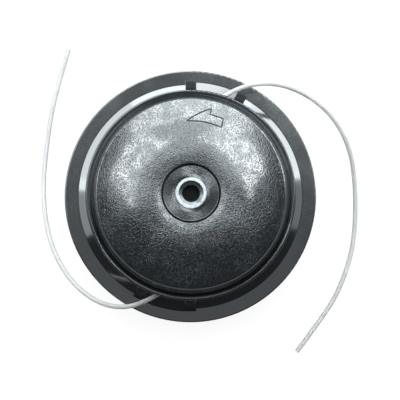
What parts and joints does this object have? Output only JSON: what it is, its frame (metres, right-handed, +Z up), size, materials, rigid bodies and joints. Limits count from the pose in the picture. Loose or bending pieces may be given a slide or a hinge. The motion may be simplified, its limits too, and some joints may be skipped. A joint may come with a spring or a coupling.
{
  "type": "bump feed trimmer head",
  "caption": "Round string trimmer head with a domed housing, flared guard ring, nylon line tails and a sprung bump knob that turns the spool as it is pressed.",
  "frame": {"origin": "centre of the bump knob's flat face, on the ground", "axes": "+Z up along the drive thread towards the machine; +Y towards the latch post beside the right line exit"},
  "size_m": [0.1682, 0.1626, 0.066],
  "materials": {
    "black_nylon": "moulded, fine spark grain",
    "zinc_steel": "turned, zinc plated",
    "plain_steel": "plain",
    "spring_steel": "drawn wire",
    "brass": "turned",
    "nylon_line": "translucent white monofilament"
  },
  "bodies": {
    "head": {"upper_housing": "black_nylon", "lower_cover": "black_nylon", "drive_nut": "zinc_steel", "eyelet_right": "brass", "eyelet_left": "brass", "bump_spring": "spring_steel", "line_tail_right": "nylon_line", "line_tail_left": "nylon_line"},
    "thrust": {"thrust_washer": "plain_steel"},
    "feed": {"spool": "black_nylon", "winding_lower": "nylon_line", "winding_upper": "nylon_line", "bump_knob": "black_nylon", "knob_screw": "plain_steel", "knob_washer": "plain_steel"}
  },
  "joints": [
    {"name": "bump_press", "type": "slide", "parent": "head", "child": "thrust", "axis": [0, 0, 1], "range_m": [0, 0.007], "stiffness_N_per_m": 2500, "springref_m": -0.008, "deforming": ["bump_spring"]},
    {"name": "spool_index", "type": "hinge", "parent": "thrust", "child": "feed", "pos_m": [0, 0, 0.03], "axis": [0, 0, -1], "range_deg": [0, 30]}
  ],
  "couplings": [
    {"joint": "spool_index", "follows": "bump_press", "rad_per_m": 74.79}
  ]
}
